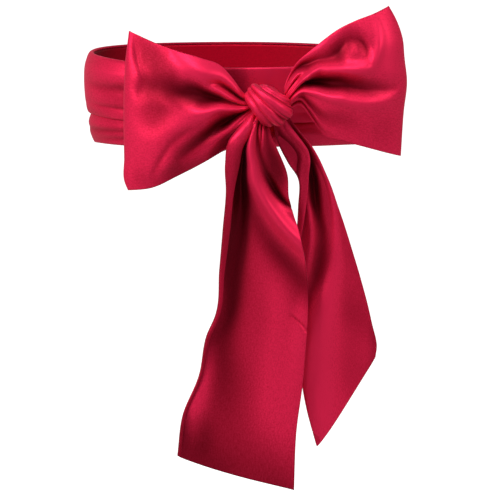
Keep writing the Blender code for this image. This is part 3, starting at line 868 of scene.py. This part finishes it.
TAIL_LEFT_DENTS = table(DENT_COLUMNS,
                        (0.15, 0.84, 0.08, 0.16, -3.0), (1.04, 0.26, 0.12, 0.30, -2.2),
                        (1.06, 0.80, 0.16, 0.40, -2.2),
                        (0.92, 0.12, 0.06, 0.16, -2.0))
MARGIN_LEFT_FOLDS = (
    fold((0.00, 0.10, 0.16, 5.0), (0.07, 0.15, 0.16, 5.0), (0.12, 0.12, 0.12, 2.5), (0.20, 0.09, 0.08, 1.5),
         (0.35, 0.06, 0.06, 1.0), (0.60, 0.03, 0.05, 0)),
)
TAIL_RIGHT_FOLDS = (
    # the deep groove, the glow beside it and the long bright ridge
    fold((0.06, 0.80, 0.10, 0), (0.11, 0.72, 0.13, -3.5), (0.16, 0.60, 0.14, -6.0),
         (0.22, 0.48, 0.15, -7.5),
         (0.28, 0.44, 0.14, -6.5), (0.33, 0.46, 0.12, -4.0), (0.38, 0.48, 0.12, -3.0),
         (0.44, 0.42, 0.12, -3.0),
         (0.52, 0.30, 0.12, -3.0), (0.60, 0.16, 0.10, -2.0), (0.68, 0.06, 0.09, 0)),
    fold((0.24, 0.22, 0.07, 0), (0.32, 0.27, 0.07, 1.8), (0.40, 0.27, 0.08, 1.8), (0.48, 0.22, 0.08, 1.0),
         (0.56, 0.18, 0.08, 0)),
    fold((0.05, 1.00, 0.14, 0), (0.10, 1.00, 0.12, 3.5), (0.24, 0.94, 0.06, 2.0), (0.30, 0.88, 0.06, 2.2),
         (0.36, 0.80, 0.07, 2.2), (0.43, 0.71, 0.09, 2.4), (0.50, 0.61, 0.12, 3.0), (0.60, 0.46, 0.17, 4.2),
         (0.67, 0.34, 0.22, 5.2), (0.74, 0.24, 0.28, 6.0), (0.83, 0.17, 0.30, 6.0), (0.92, 0.14, 0.30, 4.5),
         (1.00, 0.12, 0.30, 3.0)),
    fold((0.72, 1.02, 0.06, 0), (0.84, 1.0, 0.08, -1.5), (1.00, 0.98, 0.08, -1.0)),
)
TAIL_RIGHT_DENTS = table(DENT_COLUMNS, (0.90, 0.20, 0.06, 0.14, 0.9))
MARGIN_RIGHT_FOLDS = (
    fold((0.02, 0.05, 0.20, -0.8), (0.06, 0.12, 0.25, -4.0), (0.09, 0.18, 0.28, -6.0),
         (0.12, 0.18, 0.26, -6.0),
         (0.15, 0.08, 0.16, -4.5), (0.18, 0.0, 0.10, -2.0), (0.21, -0.08, 0.10, 0)),
    fold((0.00, 0.74, 0.10, 1.5), (0.06, 0.75, 0.12, 3.0), (0.10, 0.82, 0.10, 3.5), (0.13, 0.80, 0.10, 3.0),
         (0.18, 0.46, 0.10, 1.0), (0.24, 0.24, 0.08, 0.4), (0.35, 0.10, 0.06, 0.8), (0.45, 0.06, 0.05, 0)),
)
TAIL_RIPPLES = ((1.7, 0.5, 0.20, 0.40), (3.1, -1.2, 0.65, 0.25))


# %% Build the tails
def tail_points(sections, folds, dents, margin_folds, margin_shade):
    """A section is margin, half turn of MARGIN_RADIUS, then flat; margin and flat have own folds."""
    at = np.linspace(0, 1, TAIL_STEPS)[:, None]
    left = along(sections, "left", at)
    right = along(sections, "right", at)
    flap = along(sections, "flap", at)
    turn = np.linspace(math.pi / 2, 3 * math.pi / 2, TURN_COLUMNS)[None, :]
    margin = np.linspace(1, 0, MARGIN_COLUMNS, endpoint=False)[None, :]
    flat = np.linspace(0, 1, FLAT_COLUMNS)[None, 1:]
    x = np.concatenate([left + MARGIN_RADIUS + (flap - MARGIN_RADIUS) * margin,
                        left + MARGIN_RADIUS * (1 + np.cos(turn)),
                        left + MARGIN_RADIUS + (right - left - MARGIN_RADIUS) * flat], axis=1)
    lift = np.concatenate([np.full_like(margin, 2 * MARGIN_RADIUS),
                           MARGIN_RADIUS * (1 + np.sin(turn)), 0 * flat], axis=1)
    place = (x - left) / (right - left)
    left_z = along(sections, "left_z", at)
    z = left_z + (along(sections, "right_z", at) - left_z) * place
    own = np.concatenate([0 * margin, (1 - np.sin(turn)) / 2, 1 + 0 * flat], axis=1)
    z = z - HEM_SAG * at ** 8 * (np.sin(math.pi * np.clip(place, 0, 1) ** 0.7) - 0.8 * (1 - own))
    swell = own * (fold_relief(folds, at, place) + dent_relief(dents, at, place))
    swell = swell + (1 - own) * fold_relief(margin_folds, at, place) + ripple(at, place, TAIL_RIPPLES)
    y = along(sections, "front", at) - lift - swell
    walked = np.concatenate([-MARGIN_SHARE * margin, 0 * turn, flat], axis=1)
    # Painted shade and highlight, in the colour only: crests paler and hollows darker, the bow's painted
    # shadow, and the margin's painted shade or light
    relief = TAIL_CREASE_PAINTED_LIGHT * swell - TAIL_SHADE - margin_shade * (1 - own)
    walked = MARGIN_SHARE + (1 - MARGIN_SHARE) * walked
    return np.stack(np.broadcast_arrays(x, y, z), axis=-1), walked, relief


tail_left_points, tail_across, tail_left_relief = tail_points(TAIL_LEFT, TAIL_LEFT_FOLDS, TAIL_LEFT_DENTS,
                                                              MARGIN_LEFT_FOLDS, MARGIN_LEFT_SHADE)
tail_left = cloth("tail_left_cloth", tail_left_points, tail_across, "tail_left", tail_left_relief)
tail_right_points, _, tail_right_relief = tail_points(TAIL_RIGHT, TAIL_RIGHT_FOLDS, TAIL_RIGHT_DENTS,
                                                      MARGIN_RIGHT_FOLDS, MARGIN_RIGHT_SHADE)
tail_right = cloth("tail_right_cloth", tail_right_points, tail_across, "tail_right", tail_right_relief)

# %% [markdown]
# ## The knot
# The knot is a ball of gathered layers with strands wound over it. A strand could be a bent tube,
# but cloth lies on the ball in flattened folds, so each strand is a band of the ball's own surface
# between two curves of latitude, standing proud in the middle and tucked down at its edges. Small
# creases run along it. The strands cut a little into each other at their edges, and the loops and
# tails run into the ball, so no gap shows between them. In real cloth these would be layers.

# %% Knot tables
KNOT_CENTRE = (23.5, -119.6, 11.0)
KNOT_RADII = (18.0, 21.0, 13.5)     # along the strands, to the front, across them
KNOT_SLOPE = math.radians(38.0)
STRAND_STEPS = 110
STRAND_COLUMNS = 48
STRAND_FOOT = 0.4              # an edge stands this far off the ball
STRAND_ROUND = 0.75            # below 1 the strand is fuller than a half wave
RIB_RISE = 0.30
FINE_RIB_RISE = 0.35
FINE_RIB_START = 0.6           # the fine ribs grow from this share of the length on
RIB_PAINTED_LIGHT = 9.0                 # these three are painted shade and highlight in the colour
ROUND_PAINTED_LIGHT = 8.0
ROUND_LEVEL = 0.72
STRANDS = {
    # name: left low, left high, right low, right high, start, end, proud, creases across
    "knot_strand_wide": (-36, -5, -80, -34, -82, 66, 4.4, 1),
    "knot_collar": (20, 52, 36, 74, -60, 84, 3.0, 4),
    "knot_strand_middle": (-9, 8, -42, -2, -80, 68, 4.6, 1),
    "knot_strand_top": (3, 27, -8, 44, -78, 72, 5.2, 2),
}


def on_knot(lat, lon, proud):
    """Point of the ball at a latitude and a turn about the strands' axis, raised by proud."""
    run = (KNOT_RADII[0] + proud) * np.cos(lat) * np.sin(lon)
    front = (KNOT_RADII[1] + proud) * np.cos(lat) * np.cos(lon)
    pole = (KNOT_RADII[2] + proud) * np.sin(lat)
    x = KNOT_CENTRE[0] + run * math.cos(KNOT_SLOPE) + pole * math.sin(KNOT_SLOPE)
    y = KNOT_CENTRE[1] - front
    z = KNOT_CENTRE[2] - run * math.sin(KNOT_SLOPE) + pole * math.cos(KNOT_SLOPE)
    return np.stack(np.broadcast_arrays(x, y, z), axis=-1)


def strand_points(left_low, left_high, right_low, right_high, start, end, proud, creases):
    """Latitude runs between two edge curves; the height is a half wave across, with ribs along."""
    share = np.linspace(0, 1, STRAND_STEPS)[:, None]
    across = np.linspace(0, 1, STRAND_COLUMNS)[None, :]
    ease = share * share * (3 - 2 * share)
    low = left_low + (right_low - left_low) * ease
    high = left_high + (right_high - left_high) * ease
    lat = np.radians(low + (high - low) * across)
    lon = np.radians(start + (end - start) * share)
    round_over = np.sin(math.pi * across) ** STRAND_ROUND
    ribs = RIB_RISE * np.cos(2 * math.pi * creases * (across + 0.08 * np.sin(5 * share + creases)))
    fine = np.clip((share - FINE_RIB_START) / 0.25, 0, 1) * np.cos(2 * math.pi * (3 * creases * across))
    ribs = ribs + FINE_RIB_RISE * fine
    ends = np.clip(np.minimum(share, 1 - share) / 0.12, 0, 1) ** 0.5
    full = (proud - STRAND_FOOT) * round_over * (0.35 + 0.65 * ends)
    raised = STRAND_FOOT + full + ribs * round_over * ends
    # Painted highlight on the strand's middle and rib crests, painted shade at its tucked edges and rib
    # troughs, in the colour only
    relief = RIB_PAINTED_LIGHT * ribs * ends + ROUND_PAINTED_LIGHT * (round_over - ROUND_LEVEL)
    return on_knot(lat, lon, raised), across, relief


# %% Build the knot
for node, row in STRANDS.items():
    points, across, ribbed = strand_points(*row)
    cloth(node + "_cloth", points, 0.3 * across, node, ribbed)

# %% [markdown]
# The ball itself shows from above and behind, where the loops and the band run into it, so it gets
# the pleats of the layers that are drawn together there.

# %% Heart of the knot
HEART_STEPS = 120
HEART_COLUMNS = 72


def heart():
    """Ball of the knot: radius drawn in by pleats that run with the strands, closed at the poles."""
    lon = np.linspace(-math.pi, math.pi, HEART_STEPS, endpoint=False)[:, None]
    lat = np.linspace(-math.pi / 2, math.pi / 2, HEART_COLUMNS)[None, :]
    pleat = 0.7 * np.cos(9 * lat + 0.6 * np.sin(2 * lon)) * np.cos(lat) - 0.8
    points = on_knot(lat, lon, pleat)
    rows, columns = points.shape[:2]
    faces = grid_faces(rows, columns, True)[:, ::-1]
    mesh = bpy.data.meshes.new("knot_heart")
    mesh.from_pydata((points.reshape(-1, 3) * MM).tolist(), [], faces.tolist())
    layer = mesh.uv_layers.new(name="cloth")
    u = np.broadcast_to(lat * KNOT_RADII[2] * MM, (rows, columns))
    v = np.broadcast_to(lon * KNOT_RADII[0] * MM, (rows, columns))
    uv = np.stack([u, v], axis=-1).reshape(-1, 2)[faces]
    layer.data.foreach_set("uv", uv.astype(np.float32).ravel())
    mesh.materials.append(SATIN)
    mesh.shade_smooth()
    piece = add("knot_heart", mesh)
    weld = piece.modifiers.new("Poles", "WELD")
    weld.merge_threshold = 0.01 * MM
    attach(piece, "root")
    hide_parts("knot_core")
    return piece


knot_heart = heart()

# %% [markdown]
# Each stretch says the flat size it was cut to, as its area and its length. Lengths are measured
# along the made surfaces.

# %% Sheets
made = {"band_under": under_points, "band_fold": fold_points, "loop_left": left_points,
        "loop_right": right_points, "tail_left": tail_left_points, "tail_right": tail_right_points}
for name, points in made.items():
    print(name, "area, m2:", round(surface_area(points), 4), "length, m:", round(strip_length(points), 3))
